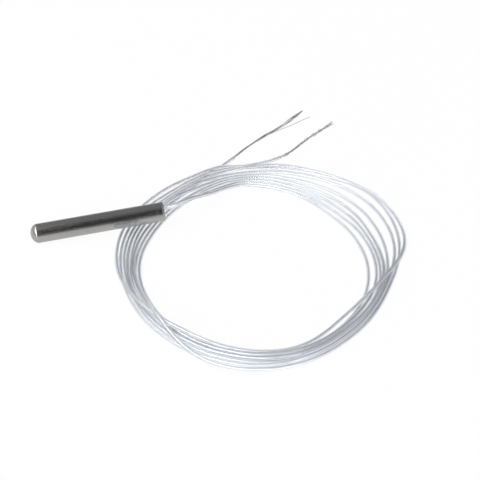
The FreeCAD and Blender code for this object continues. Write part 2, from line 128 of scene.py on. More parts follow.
LAYERS = {
    1: (
        (0, 0, 0, 0, 0, 0, 0, 0, 0, 0, 0, 0),
        (0, 0, 0, 0, 0, 0, 0, 0, 0, 0, 0, 1),
        (0, 0, 0, 0, 0, 0, 0, 0, 0, 0.8, 0, 1),
        (0, 0, 0, 0, 0, 0, 0, 0, 3, 1, 0),
    ),
    2: (
        (0, 0, 0, 0, 0, 0.85, 0.85, 0.85, 0.85, 0, 0, 0),
        (0, 0, 0, 0, 0.85, 0.85, 0.85, 0.85, 0.85, 0, 0, 1),
        (0, 0, 0, 0, 0.85, 0.85, 0.85, 0, 0, 0, 0, 1),
        (0, 0, 1, 0.8, 2.4, 0, 0, 0, 2, 0.5, 0, 1),
    ),
}
# Height of a lead's middle on the floor, and of each layer over the one below
FLOOR_HEIGHT = 0.63
LAYER_HEIGHT = 1.3

# Strands around the middle one, and points on the outline of each in the core
STRANDS_AROUND = 6
STRAND_POINTS = 5
# How far the strands of each bare end stand off their middle one: place along it, and distance
SWELL = {
    1: ((0.0, 0.2), (0.2, 0.24), (0.35, 0.3), (0.5, 0.42), (0.62, 0.42), (0.77, 0.5), (0.88, 0.42),
        (1.0, 0.16)),
    2: ((0.0, 0.2), (0.1, 0.34), (0.25, 0.26), (0.4, 0.36), (0.55, 0.28), (0.7, 0.4), (0.86, 0.32),
        (1.0, 0.8)),
}
# Length of one twist of the bare strands, and where each of the seven ends along the bare end
BARE_LAY = {1: 60.0, 2: 8.0}
STRAND_END = (1.0, 0.985, 0.97, 0.995, 0.975, 0.99, 0.965)
# Rings along a bare strand, its sides, the rings that its swell is evened over, and its room over the floor
BARE_RINGS = 110
BARE_SIDES = 8
EVENED_RINGS = 9
BARE_ROOM = 0.01
# Wander of a bare strand: its waves, the shift from strand to strand, and the share of its length it grows on
WAVES = 1.3
WAVE_SHIFT = 0.37
WAVE_GROWTH = 0.25
# Shares of the swell that the wander gives the middle strand and adds to the others, and its turn in radians
MIDDLE_WANDER = 0.25
OUTER_WANDER = 0.22
TURN_WANDER = 0.3
# How much further than their mean two opposite strands of the ring stand off
FLATTENING = 0.35

# The room by direction, from right to left: where its dim right side, the faint strip, the dark gap and the
# lit strip end
RIGHT_END = (0.44, 0.32)
FAINT_END = (0.16, 0.07)
GAP_END = (-0.25, -0.31)
STRIP_END = (-0.44, -0.52)
# From front to back: where the gap turns paler, and where the lit and the faint strip fade
GAP_FADE = (-0.55, 0.2)
STRIP_FADE = (0.2, 0.65)
FAINT_FADE = (0.15, 0.5)
# Downwards: where the room turns into the pale horizon
HORIZON = (0.09, 0.01)
# Window of two by two lamps, in metres: the first one's place, the steps to the next, size and radiance
PANE_PLACE = (-0.44, -0.52, 0.75)
PANE_STEP = (-0.26, 0.42)
PANE_SIZE = 0.17
PANE_RADIANCE = 7.0
# Share of the floor's look that glows, for the rays that see it as white
FLOOR_GLOW = 0.94
# First of the even steps whose squares give the radii of the floor's rings
FLOOR_MIDDLE = 0.02
# Camera: width of its sensor in millimetres, and the nearest distance that it sees
SENSOR_WIDTH = 36.0
NEAREST = 0.005

# The part of a noise's range that is spread over the two ends of a look
GRAIN_RANGE = (0.3, 0.7)


class SheathSettings(bpy.types.PropertyGroup):
    """Sizes and colour of the steel sheath."""

    length: FloatProperty(name="Length", description="From tip to open end", default=44.0 * MM, unit="LENGTH")
    radius: FloatProperty(name="Radius", description="Of the outer wall", default=3.175 * MM, unit="LENGTH")
    wall: FloatProperty(name="Wall", description="Thickness of the metal", default=0.5 * MM, unit="LENGTH")
    crown: FloatProperty(
        name="Crown", description="Radius of the tip's dome", default=3.7 * MM, unit="LENGTH"
    )
    knuckle: FloatProperty(
        name="Knuckle", description="Radius between dome and wall", default=2.0 * MM, unit="LENGTH"
    )
    groove_place: FloatProperty(
        name="Groove", description="From the tip to the rolled groove", default=42.0 * MM, unit="LENGTH"
    )
    groove_width: FloatProperty(
        name="Groove Width", description="Of the rolled groove", default=1.0 * MM, unit="LENGTH"
    )
    groove_depth: FloatProperty(
        name="Groove Depth", description="Of the rolled groove", default=0.015 * MM, unit="LENGTH"
    )
    edge: FloatProperty(
        name="Edge", description="Radius of the lip rolled in at the end", default=0.6 * MM, unit="LENGTH"
    )
    sides: IntProperty(name="Sides", description="Faces around the sheath", default=128, min=12)
    steel: FloatVectorProperty(
        name="Steel", description="Colour of the metal", default=(0.4, 0.393, 0.385), subtype="COLOR"
    )


class LeadSettings(bpy.types.PropertyGroup):
    """Sizes and colours of the two leads."""

    diameter: FloatProperty(name="Diameter", description="Over the cover", default=1.25 * MM, unit="LENGTH")
    strand: FloatProperty(
        name="Strand", description="Diameter of one strand", default=0.2 * MM, unit="LENGTH"
    )
    lay: FloatProperty(
        name="Lay", description="Length of one twist of the strands", default=5.0 * MM, unit="LENGTH"
    )
    sides: IntProperty(name="Sides", description="Faces around the cover", default=16, min=6)
    cover: FloatVectorProperty(
        name="Cover", description="Tint of the clear cover", default=(0.965, 0.98, 1.0), subtype="COLOR"
    )
    plating: FloatVectorProperty(
        name="Plating", description="Of the covered strands", default=(0.965, 0.975, 1.0), subtype="COLOR"
    )
    bare: FloatVectorProperty(
        name="Bare", description="Of the dulled bare strands", default=(0.62, 0.614, 0.607), subtype="COLOR"
    )


class StageSettings(bpy.types.PropertyGroup):
    """Camera, floor and light."""

    azimuth: FloatProperty(
        name="Azimuth",
        description="Of the camera round the object",
        default=math.radians(-10.6582),
        subtype="ANGLE",
    )
    elevation: FloatProperty(
        name="Elevation",
        description="Of the camera over the floor",
        default=math.radians(42.0),
        subtype="ANGLE",
    )
    distance: FloatProperty(
        name="Distance", description="From the camera to its target", default=305.7517 * MM, unit="LENGTH"
    )
    target: FloatVectorProperty(
        name="Target",
        description="Point on the floor at the middle of the picture",
        default=(44.9467 * MM, -11.8945 * MM, 0.0),
        subtype="XYZ",
        unit="LENGTH",
    )
    lens: FloatProperty(name="Lens", description="Focal length in millimetres", default=70.0, unit="CAMERA")
    floor_radius: FloatProperty(name="Floor", description="Radius of the floor", default=3.0, unit="LENGTH")
    floor: FloatVectorProperty(
        name="Floor Colour", description="Of the pale floor", default=(0.95, 0.95, 0.95), subtype="COLOR"
    )
    tent: FloatVectorProperty(
        name="Tent", description="Of the tent on the left", default=(0.66, 0.672, 0.7), subtype="COLOR"
    )
    strip: FloatVectorProperty(
        name="Strip", description="Of the lit strip beside the gap", default=(3.6, 3.64, 3.7), subtype="COLOR"
    )
    faint: FloatVectorProperty(
        name="Faint", description="Of the strip right of the gap", default=(1.6, 1.615, 1.64), subtype="COLOR"
    )
    right: FloatVectorProperty(
        name="Right", description="Of the tent's right side", default=(0.35, 0.355, 0.37), subtype="COLOR"
    )
    front: FloatVectorProperty(
        name="Front", description="Of the gap's front", default=(0.035, 0.035, 0.037), subtype="COLOR"
    )
    back: FloatVectorProperty(
        name="Back", description="Of the gap behind the object", default=(0.295, 0.298, 0.31), subtype="COLOR"
    )


class Skin(NamedTuple):
    """Rings of points, the distance along the surface at each ring, and the two points that close it."""

    rings: np.ndarray
    along: np.ndarray
    ends: tuple


def ring_faces(rows, sides):
    """Four-sided faces between rings: each point, the next on its ring, and the same two on the next ring."""
    row, side = np.meshgrid(np.arange(rows - 1), np.arange(sides), indexing="ij")
    after = (side + 1) % sides
    return np.stack([
        row * sides + side, row * sides + after, (row + 1) * sides + after, (row + 1) * sides + side
    ], axis=-1)


def skin_mesh(name, skins):
    """Mesh of closed surfaces: four-sided faces between each surface's rings, and at both ends a fan of
    three-sided ones to its end point. The UV map runs around the surface first, and then along it."""
    points, corners, counts, places = [], [], [], []
    offset = 0
    for skin in skins:
        rows, sides = skin.rings.shape[:2]
        side = np.arange(sides)
        after = (side + 1) % sides
        last = offset + (rows - 1) * sides
        tips = offset + rows * sides
        start_fan = np.stack([np.full(sides, tips), offset + after, offset + side], axis=-1)
        end_fan = np.stack([np.full(sides, tips + 1), last + side, last + after], axis=-1)
        points += [skin.rings.reshape(-1, 3), np.array(skin.ends)]
        corners += [(offset + ring_faces(rows, sides)).ravel(), start_fan.ravel(), end_fan.ravel()]
        counts += [np.full((rows - 1) * sides, 4), np.full(2 * sides, 3)]
        row = np.arange(rows - 1)[:, None]
        across = np.stack([side, side + 1, side + 1, side], axis=-1) / sides
        lengthwise = skin.along[np.stack([row, row, row + 1, row + 1], axis=-1)]
        places.append(np.stack(np.broadcast_arrays(across, lengthwise), axis=-1).reshape(-1, 2))
        middle = (side + 0.5) / sides
        for end, half in ((0, 0.5 / sides), (-1, -0.5 / sides)):
            fan_across = np.stack([middle, middle + half, middle - half], axis=-1)
            fan_along = np.full((sides, 3), skin.along[end])
            places.append(np.stack([fan_across, fan_along], axis=-1).reshape(-1, 2))
        offset = tips + 2
    points, corners, counts, places = map(np.concatenate, (points, corners, counts, places))
    mesh = bpy.data.meshes.new(name)
    mesh.vertices.add(len(points))
    mesh.vertices.foreach_set("co", points.astype(np.float32).ravel())
    mesh.loops.add(len(corners))
    mesh.loops.foreach_set("vertex_index", corners.astype(np.int32))
    mesh.polygons.add(len(counts))
    mesh.polygons.foreach_set("loop_start", (np.cumsum(counts) - counts).astype(np.int32))
    mesh.update(calc_edges=True)
    mesh.uv_layers.new(name=UV_NAME).uv.foreach_set("vector", places.astype(np.float32).ravel())
    mesh.polygons.foreach_set("use_smooth", np.ones(len(counts), bool))
    mesh.set_sharp_from_angle(angle=SHARP_EDGE)
    if mesh.validate():
        raise RuntimeError(f"{name} has faces that are not valid")
    return mesh


def add_piece(name, skins, material, replaced=()):
    """Puts a surface into the scene as a piece of the probe."""
    piece = bpy.data.objects.new(name, skin_mesh(name, skins))
    piece.data.materials.append(material)
    bpy.context.scene.collection.objects.link(piece)
    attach(piece, "root")
    if replaced:
        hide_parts(*replaced)
    return piece


def arc(centre, radius, start, end, count):
    """Points of an arc: centre plus radius times cosine and sine of evenly spaced angles, in degrees."""
    angle = np.radians(np.linspace(start, end, count))
    return np.stack([centre[0] + radius * np.cos(angle), centre[1] + radius * np.sin(angle)], axis=-1)


def straight(start, end, radius, count):
    """Points of a straight stretch: evenly spaced places along the axis, at one radius."""
    return np.stack([np.linspace(start, end, count), np.full(count, radius)], axis=-1)


def directions(line):
    """Direction of a line at each of its points, and the two directions across it: level, and upwards."""
    ahead = np.gradient(line, axis=0)
    ahead /= np.linalg.norm(ahead, axis=1, keepdims=True)
    level = np.cross(UP, ahead)
    level /= np.linalg.norm(level, axis=1, keepdims=True)
    return ahead, level, np.cross(ahead, level)


def distances(line):
    """Distance along a line to each of its points."""
    return np.append(0.0, np.cumsum(np.linalg.norm(np.diff(line, axis=0), axis=1)))


def rings_around(line, angle, radius):
    """Profile carried along a line: each point plus radius times cosine of the angle in the level direction
    and radius times its sine in the upward one."""
    _, level, upward = directions(line)
    across = (radius * np.cos(angle))[..., None] * level[:, None, :]
    return line[:, None, :] + across + (radius * np.sin(angle))[..., None] * upward[:, None, :]


def tube(line, radius, sides):
    """Round tube with flat ends along a line."""
    angle = np.broadcast_to(2 * np.pi * np.arange(sides) / sides, (len(line), sides))
    return Skin(rings_around(line, angle, np.full_like(angle, radius)), distances(line), (line[0], line[-1]))


def between(at, along, values):
    """Values, three at each distance along a line, at other distances along it."""
    return np.stack([np.interp(at, along, values[:, k]) for k in range(3)], axis=-1)


def cut_line(line, start, end):
    """The part of a line between two distances along it, with its own points and two new ends."""
    along = distances(line)
    kept = along[(along > start + CUT_MARGIN * MM) & (along < end - CUT_MARGIN * MM)]
    return between(np.concatenate([[start], kept, [end]]), along, line)


class Finish:
    """A material with one Principled shader, and the nodes that vary it over the surface."""

    def __init__(self, name, **values):
        self.material = bpy.data.materials.new(name)
        self.material.use_nodes = True
        self.nodes = self.material.node_tree.nodes
        self.links = self.material.node_tree.links
        self.shader = self.nodes["Principled BSDF"]
        for socket, value in values.items():
            self.shader.inputs[socket.replace("_", " ")].default_value = value

    def grain(self, scale, detail, stretch=(1.0, 1.0, 1.0), turn=(0.0, 0.0, 0.0)):
        """Noise from 0 to 1 on the piece's own coordinates, turned and then stretched."""
        place = self.nodes.new("ShaderNodeTexCoord")
        mapping = self.nodes.new("ShaderNodeMapping")
        mapping.inputs["Rotation"].default_value = turn
        mapping.inputs["Scale"].default_value = stretch
        noise = self.nodes.new("ShaderNodeTexNoise")
        noise.inputs["Scale"].default_value = scale
        noise.inputs["Detail"].default_value = detail
        self.links.new(place.outputs["Object"], mapping.inputs["Vector"])
        self.links.new(mapping.outputs["Vector"], noise.inputs["Vector"])
        return noise.outputs["Fac"]

    def roughen(self, grain, low, high):
        """Drives the shader's roughness between two values."""
        span = self.nodes.new("ShaderNodeMapRange")
        for name, value in zip(("From Min", "From Max", "To Min", "To Max"), (*GRAIN_RANGE, low, high)):
            span.inputs[name].default_value = value
        self.links.new(grain, span.inputs["Value"])
        self.links.new(span.outputs["Result"], self.shader.inputs["Roughness"])

    def tint(self, grain, low, high):
        """Drives the shader's colour between two tints."""
        ramp = self.nodes.new("ShaderNodeValToRGB")
        for element, place, colour in zip(ramp.color_ramp.elements, GRAIN_RANGE, (low, high)):
            element.position = place
            element.color = (*colour, 1.0)
        self.links.new(grain, ramp.inputs["Fac"])
        self.links.new(ramp.outputs["Color"], self.shader.inputs["Base Color"])

    def relief(self, grain, depth, strength):
        """Bumps the surface by the grain."""
        bump = self.nodes.new("ShaderNodeBump")
        bump.inputs["Distance"].default_value = depth
        bump.inputs["Strength"].default_value = strength
        self.links.new(grain, bump.inputs["Height"])
        self.links.new(bump.outputs["Normal"], self.shader.inputs["Normal"])

    def spread_round(self):
        """Spreads a gloss around the piece, as fine lines along it do: the tangent follows the UV map's u."""
        tangent = self.nodes.new("ShaderNodeTangent")
        tangent.direction_type = "UV_MAP"
        tangent.uv_map = UV_NAME
        self.links.new(tangent.outputs["Tangent"], self.shader.inputs["Tangent"])


def shade(colour, share):
    """A colour made darker or lighter by a share of itself."""
    return tuple(min(1.0, max(0.0, value * share)) for value in colour)


def lead_seat(lead):
    """Point at which a lead leaves the open end."""
    across, over = LEAD_SEAT[lead]
    return OPEN_END + across * ACROSS + over * RISE


def start_route(lead):
    """Control points of a lead before it settles, and which of them are free to move. Its turns go round the
    coil's centre at the lanes' radii and the layers' heights."""
    inside = lead_seat(lead) + np.array(STRAIGHT_RUN)[:, None] * AXIS
    lanes = np.concatenate(LANES[lead])
    layers = np.concatenate(LAYERS[lead])
    place = np.arange(1, (len(lanes) - 1) * STATION_POINTS + 1) / STATION_POINTS
    radius = between_stations(lanes, place)
    height = FLOOR_HEIGHT + LAYER_HEIGHT * np.interp(place, np.arange(len(layers)), layers)
    angle = np.radians(FIRST_ANGLE - place * STATION_STEP)
    turns = np.stack([
        COIL_CENTRE[0] + radius * np.cos(angle), COIL_CENTRE[1] + radius * np.sin(angle), height
    ], axis=-1)
    exits = EXIT_ROUTE[lead]
    parts = (
        (inside, False),
        (exits[:-FREE_EXITS], False),
        (exits[-FREE_EXITS:], True),
        (turns, True),
        (LEAVING_ROUTE[lead], True),
        (TAIL_ROUTE[lead], False),
    )
    free = np.concatenate([np.full(len(points), movable) for points, movable in parts])
    return np.concatenate([np.array(points) for points, _ in parts]), free


def between_stations(values, place):
    """Smooth curve through evenly spaced values: on each span the cubic whose slope at a value is half the
    difference of its neighbours."""
    values = np.concatenate([[2 * values[0] - values[1]], values, [2 * values[-1] - values[-2]]])
    first = np.clip(np.floor(place).astype(int), 0, len(values) - 4)
    share = place - first
    a, b, c, d = (values[first + k] for k in range(4))
    return b + 0.5 * share * (c - a + share * (2 * a - 5 * b + 4 * c - d + share * (3 * (b - c) + d - a)))


class Settling:
    """Control points of both leads, in millimetres, which sink on to the floor and on to each other."""

    # Rounds, the share of them that sink the leads fast, and how far a round sinks them then and later
    ROUNDS = 600
    FAST_SHARE = 0.7
    FAST_SINK = 0.03
    SLOW_SINK = 0.006
    # Share of a lead's way from its lane that a round takes back, and shares of its bends that a round evens
    PULL = 0.06
    EVEN_SIDEWAYS = 0.05
    EVEN_UPRIGHT = 0.06
    # Samples between two control points, and how many after a sample on its lead are not its neighbours
    SAMPLES = 4
    SOON = 24
    # Rounds between two searches for neighbours, how far apart those may be, and samples searched at once
    SEARCH_ROUNDS = 25
    REACH = 2.6
    BATCH = 400
    # Room between leads, over the floor and round the sheath, and how far before the open end that room goes
    LEAD_ROOM = 0.02
    FLOOR_ROOM = 0.005
    SHEATH_ROOM = 0.03
    END_ROOM = 0.3
    # Slip along both leads up to which two samples lie side by side
    SLIP = 0.7
    # Share of a fault with the floor or the sheath that one push mends, and what pushes are multiplied by
    MENDED = 0.7
    GAIN = 1.6
    # Least divisor
    TINY = 1e-6

    def __init__(self, routes, free, leads, sheath):
        self.counts = [len(route) for route in routes]
        self.starts = np.array((0, self.counts[0]))
        self.points = np.concatenate(routes)
        self.home = self.points.copy()
        self.free = np.concatenate(free)[:, None].astype(float)
        diameter = leads.diameter / MM
        self.gap = diameter + self.LEAD_ROOM
        self.floor = diameter / 2 + self.FLOOR_ROOM
        self.clear = sheath.radius / MM + diameter / 2 + self.SHEATH_ROOM
        self.sheath_length = sheath.length / MM
        share = (np.arange(self.SAMPLES) + 0.5) / self.SAMPLES
        weights = np.stack([0.5 * (1 - share) ** 2, 0.5 + share * (1 - share), 0.5 * share**2], axis=-1)
        spans = [
            start + np.arange(count - 2)[:, None] + np.arange(3)
            for start, count in zip(self.starts, self.counts)
        ]
        self.index = np.concatenate(spans).repeat(self.SAMPLES, axis=0)
        self.weights = np.tile(weights, (len(self.index) // self.SAMPLES, 1))
        self.lead = (self.index[:, 1] >= self.counts[0]).astype(int)
        first_free = self.starts + [np.argmax(own) for own in free]
        self.outside = self.index[:, 1] >= first_free[self.lead]
        self.load = np.maximum(self.gather(self.weights[:, :, None].repeat(3, axis=2)), self.TINY)

    def samples(self):
        """Points on both splines: each the weighted mean of three control points."""
        return (self.weights[:, :, None] * self.points[self.index]).sum(axis=1)

    def gather(self, values):
        """Sum, at each control point, of what its samples give it."""
        where = self.index.ravel()
        flat = values.reshape(-1, 3)
        return np.stack([np.bincount(where, flat[:, k], len(self.points)) for k in range(3)], axis=-1)

    def bending(self, values):
        """Second difference of the second difference, along each lead."""
        result = np.zeros_like(values)
        for start, count in zip(self.starts, self.counts):
            own = values[start:start + count]
            curve = own[:-2] - 2 * own[1:-1] + own[2:]
            target = result[start:start + count]
            target[:-2] += curve
            target[1:-1] -= 2 * curve
            target[2:] += curve
        return result

    def neighbours(self):
        """Pairs of samples that are near each other, apart from those that follow one another on a lead."""
        samples = self.samples()
        first, second = [], []
        for start in range(0, len(samples), self.BATCH):
            square = ((samples[start:start + self.BATCH, None] - samples[None]) ** 2).sum(axis=-1)
            a, b = np.nonzero(square < self.REACH**2)
            a += start
            kept = (a < b) & ~((self.lead[a] == self.lead[b]) & (b - a < self.SOON))
            first.append(a[kept])
            second.append(b[kept])
        return np.concatenate(first), np.concatenate(second)

    def part(self, first, second):
        """Moves leads that lie in each other, in the floor or in the sheath apart."""
        samples = self.samples()
        total = len(samples)
        ahead = self.points[self.index[:, 2]] - self.points[self.index[:, 0]]
        ahead /= np.linalg.norm(ahead, axis=1, keepdims=True)
        apart = samples[second] - samples[first]
        same_way = np.sign((ahead[first] * ahead[second]).sum(axis=1, keepdims=True))
        shared = ahead[first] + ahead[second] * same_way
        shared /= np.linalg.norm(shared, axis=1, keepdims=True)
        slip = (apart * shared).sum(axis=1, keepdims=True)
        apart = np.where(np.abs(slip) < self.SLIP, apart - slip * shared, apart)
        distance = np.linalg.norm(apart, axis=1, keepdims=True)
        short = np.maximum(self.gap - distance, 0.0) * 0.5 * apart / np.maximum(distance, self.TINY)
        hits = (distance[:, 0] < self.gap).astype(float)
        push = np.stack([
            np.bincount(second, short[:, k], total) - np.bincount(first, short[:, k], total) for k in range(3)
        ], axis=-1)
        push /= np.maximum(np.bincount(first, hits, total) + np.bincount(second, hits, total), 1.0)[:, None]
        sunk = self.floor - samples[:, 2]
        raised = np.maximum(push[:, 2], 0.0) + self.MENDED * sunk
        push[:, 2] = np.where(sunk > 0, raised, push[:, 2])
        from_end = samples - OPEN_END
        behind = from_end @ AXIS
        radial = from_end - behind[:, None] * AXIS
        radius = np.linalg.norm(radial, axis=1)
        beside = (behind < self.END_ROOM) & (behind > -self.sheath_length)
        inside = self.outside & beside & (radius < self.clear)
        push[inside] += self.MENDED * radial[inside] * ((self.clear - radius) / radius)[inside, None]
        moves = self.gather(self.weights[:, :, None] * push[:, None, :]) / self.load
        self.points += self.GAIN * self.free * moves

    def run(self):
        """In each round lowers the leads, draws them to their lanes, evens their bends and parts them."""
        for turn in range(self.ROUNDS):
            if turn % self.SEARCH_ROUNDS == 0:
                pairs = self.neighbours()
            sink = self.FAST_SINK if turn < self.FAST_SHARE * self.ROUNDS else self.SLOW_SINK
            self.points[:, 2] -= self.free[:, 0] * sink
            moved = (self.points - self.home)[:, :2]
            self.points[:, :2] -= self.free * (self.PULL * moved + self.EVEN_SIDEWAYS * self.bending(moved))
            self.points[:, 2:] -= self.free * self.EVEN_UPRIGHT * self.bending(self.points[:, 2:])
            self.part(*pairs)
            self.part(*pairs)
        return np.split(self.points, [self.counts[0]])


def route_line(name, points):
    """Points, in metres, along the smooth line that has a route's points as its control points."""
    curve = bpy.data.curves.new(name, "CURVE")
    curve.dimensions = "3D"
    curve.resolution_u = ROUTE_SAMPLES
    spline = curve.splines.new("NURBS")
    spline.points.add(len(points) - 1)
    control = np.concatenate([points * MM, np.ones((len(points), 1))], axis=1)
    spline.points.foreach_set("co", control.astype(np.float32).ravel())
    spline.order_u = 3
    spline.use_endpoint_u = True
    spline.resolution_u = ROUTE_SAMPLES
    holder = bpy.data.objects.new(name, curve)
    bpy.context.scene.collection.objects.link(holder)
    mesh = bpy.data.meshes.new_from_object(holder)
    line = np.empty(len(mesh.vertices) * 3, np.float32)
    mesh.vertices.foreach_get("co", line)
    bpy.data.meshes.remove(mesh)
    bpy.data.objects.remove(holder)
    bpy.data.curves.remove(curve)
    return line.reshape(-1, 3).astype(float)


def stranded_core(line, strand, lay):
    """Six round strands about a seventh, as one outline that turns once in a lay: at an angle t from the
    middle of a strand its radius is d cos t plus the root of r squared less (d sin t) squared, where r is the
    strand's radius and d its diameter."""
    between_strands = 2 * np.pi / STRANDS_AROUND
    within = between_strands * (np.arange(STRAND_POINTS) / STRAND_POINTS - 0.5)
    chord = (strand / 2) ** 2 - (strand * np.sin(within)) ** 2
    outline = strand * np.cos(within) + np.sqrt(np.maximum(chord, 0.0))
    angle = (between_strands * np.arange(STRANDS_AROUND)[:, None] + within).ravel()
    along = distances(line)
    turned = angle[None, :] - 2 * np.pi * along[:, None] / lay
    radius = np.broadcast_to(np.tile(outline, STRANDS_AROUND), turned.shape)
    return Skin(rings_around(line, turned, radius), along, (line[0], line[-1]))


def bare_strands(line, first_turn, strand, lay, swell):
    """Seven strands along a line, six of them in a flattened ring about a middle one: each stands off the
    line by the swell, at an angle that starts where the core's twist ends and turns once in a lay, and
    wanders by a slow sine of its own."""
    skins = []
    along = distances(line)
    _, level, upward = directions(line)
    for number, end in enumerate(STRAND_END):
        at = np.linspace(0.0, end * along[-1], BARE_RINGS)
        place = at / along[-1]
        off = np.interp(place, *np.array(swell).T) * MM
        evened = np.pad(off, EVENED_RINGS // 2, mode="edge")
        off = np.convolve(evened, np.ones(EVENED_RINGS) / EVENED_RINGS, mode="valid")
        wave = np.sin(2 * np.pi * (WAVES * place + WAVE_SHIFT * number))
        wander = wave * np.minimum(place / WAVE_GROWTH, 1.0)
        ring_angle = 2 * math.pi / STRANDS_AROUND * (number - 1)
        if number == 0:
            off = MIDDLE_WANDER * off * wander
        else:
            off = off * (1 + FLATTENING * math.cos(2 * ring_angle)) * (1 + OUTER_WANDER * wander)
        angle = ring_angle - first_turn - 2 * np.pi * at / lay + TURN_WANDER * wander
        own = between(at, along, line)
        own += (off * np.cos(angle))[:, None] * between(at, along, level)
        own += (off * np.sin(angle))[:, None] * between(at, along, upward)
        own[:, 2] = np.maximum(own[:, 2], strand / 2 + BARE_ROOM * MM)
        skins.append(tube(own, strand / 2, BARE_SIDES))
    return skins


def sheath_profile(settings):
    """Outline of the sheath from its tip to the open end and back inside: places along the axis, and radii.
    The dome's arc runs into the knuckle's without a corner, the groove's arc goes through its two edges and
    its bottom, the lip is a quarter circle, and the inside lies one wall further in."""
    crown, knuckle, wall = settings.crown, settings.knuckle, settings.wall
    turn_in = settings.radius - knuckle
    meet = math.degrees(math.asin(turn_in / (crown - knuckle)))
    bend = crown - math.sqrt((crown - knuckle) ** 2 - turn_in**2)
    half = settings.groove_width / 2
    round_over = (half**2 + settings.groove_depth**2) / (2 * settings.groove_depth)
    spread = math.degrees(math.asin(half / round_over))
    groove = (settings.groove_place, settings.radius - settings.groove_depth + round_over)
    lip = (settings.length - settings.edge, settings.radius - settings.edge)
    return np.concatenate([
        arc((crown, 0.0), crown, 180.0, 180.0 - meet, OUTER_POINTS["crown"])[1:],
        arc((bend, turn_in), knuckle, 180.0 - meet, 90.0, OUTER_POINTS["knuckle"])[1:],
        straight(bend, groove[0] - half, settings.radius, OUTER_POINTS["wall"])[1:],
        arc(groove, round_over, 270.0 - spread, 270.0 + spread, OUTER_POINTS["groove"])[1:],
        arc(lip, settings.edge, 90.0, 0.0, OUTER_POINTS["lip"]),
        arc(lip, settings.edge - wall, 0.0, 90.0, INNER_POINTS["lip"]),
        straight(lip[0], bend, settings.radius - wall, INNER_POINTS["wall"])[1:],
        arc((bend, turn_in), knuckle - wall, 90.0, 180.0 - meet, INNER_POINTS["knuckle"])[1:],
        arc((crown, 0.0), crown - wall, 180.0 - meet, 180.0, INNER_POINTS["crown"])[1:-1],
    ])


def turned_sheath(settings):
    """Sheath as a turned surface: its outline carried round the axis from the tip on."""
    profile = sheath_profile(settings)
    angle = 2 * np.pi * np.arange(settings.sides) / settings.sides
    tip = OPEN_END * MM - settings.length * AXIS
    radial = np.cos(angle)[:, None] * ACROSS + np.sin(angle)[:, None] * RISE
    rings = tip + profile[:, None, :1] * AXIS + profile[:, None, 1:] * radial[None]
    along = distances(np.pad(profile, ((0, 0), (0, 1))))
    return Skin(rings, along, (tip, tip + settings.wall * AXIS))


def clear_cover(settings):
    """Clear cover: smooth, faintly blue, a little hazy in places."""
    finish = Finish("clear_cover", IOR=1.34, Transmission_Weight=0.96)
    cloud = finish.grain(900.0, detail=3.0)
    finish.tint(cloud, shade(settings.cover, 0.98), settings.cover)
    finish.roughen(cloud, low=0.03, high=0.14)
    return finish.material


def plated_strand(name, colour):
    """Plated strands with slightly duller patches."""
    finish = Finish(name, Metallic=1.0)
    patches = finish.grain(600.0, detail=4.0)
    finish.tint(patches, shade(colour, 0.97), colour)
    finish.roughen(patches, low=0.18, high=0.11)
    return finish.material


def polished_steel(settings):
    """Polished steel with faint drawing lines along it and slightly uneven polish."""
    finish = Finish("polished_steel", Metallic=1.0, Anisotropic=0.9)
    turn = (0.0, LIE_ANGLE, 0.0)
    blotches = finish.grain(160.0, detail=5.0, stretch=(0.35, 1.0, 1.0), turn=turn)
    lines = finish.grain(2600.0, detail=3.0, stretch=(0.03, 1.0, 1.0), turn=turn)
    finish.tint(blotches, shade(settings.steel, 0.92), shade(settings.steel, 1.05))
    finish.roughen(lines, low=0.2, high=0.28)
    finish.relief(blotches, depth=0.03 * MM, strength=0.35)
    finish.spread_round()
    return finish.material


# Inner pieces that keep their CAD shape: node, finish
INNER_FINISHES = {
    "end_seal": "seal_rubber",
    "potting": "potting_resin",
    "tip_filler": "filler_powder",
    "element_substrate": "element_ceramic",
    "platinum_film": "platinum",
    "glass_cover": "cover_glass",
    "lead_bead": "bead_glaze",
    "element_lead_1": "nickel_wire",
    "element_lead_2": "nickel_wire",
    "splice_crimp_1": "crimp_brass",
    "splice_crimp_2": "crimp_brass",
    "splice_sleeve_1": "sleeve_plastic",
    "splice_sleeve_2": "sleeve_plastic",
}
# Finish: dark and light tint, roughness where dark and where light, metal, grain scale, relief in millimetres
INNER_LOOKS = {
    "seal_rubber": ((0.3, 0.3, 0.29), (0.42, 0.42, 0.41), 0.62, 0.5, 0.0, 2400.0, 0.02),
    "potting_resin": ((0.05, 0.045, 0.04), (0.09, 0.08, 0.07), 0.35, 0.2, 0.0, 900.0, 0.02),
    "filler_powder": ((0.68, 0.65, 0.6), (0.84, 0.82, 0.78), 0.95, 0.85, 0.0, 4200.0, 0.05),
    "element_ceramic": ((0.84, 0.83, 0.8), (0.92, 0.91, 0.88), 0.55, 0.42, 0.0, 3600.0, 0.01),
    "platinum": ((0.6, 0.59, 0.56), (0.74, 0.73, 0.7), 0.42, 0.28, 1.0, 5200.0, 0.003),
    "cover_glass": ((0.5, 0.57, 0.66), (0.6, 0.67, 0.74), 0.16, 0.08, 0.0, 1800.0, 0.005),
    "bead_glaze": ((0.7, 0.72, 0.74), (0.82, 0.84, 0.86), 0.2, 0.1, 0.0, 1800.0, 0.01),
    "nickel_wire": ((0.58, 0.55, 0.5), (0.7, 0.67, 0.62), 0.4, 0.26, 1.0, 2600.0, 0.003),
    "crimp_brass": ((0.6, 0.48, 0.25), (0.78, 0.66, 0.38), 0.38, 0.24, 1.0, 2000.0, 0.01),
    "sleeve_plastic": ((0.78, 0.77, 0.72), (0.88, 0.87, 0.82), 0.45, 0.34, 0.0, 2200.0, 0.01),
}


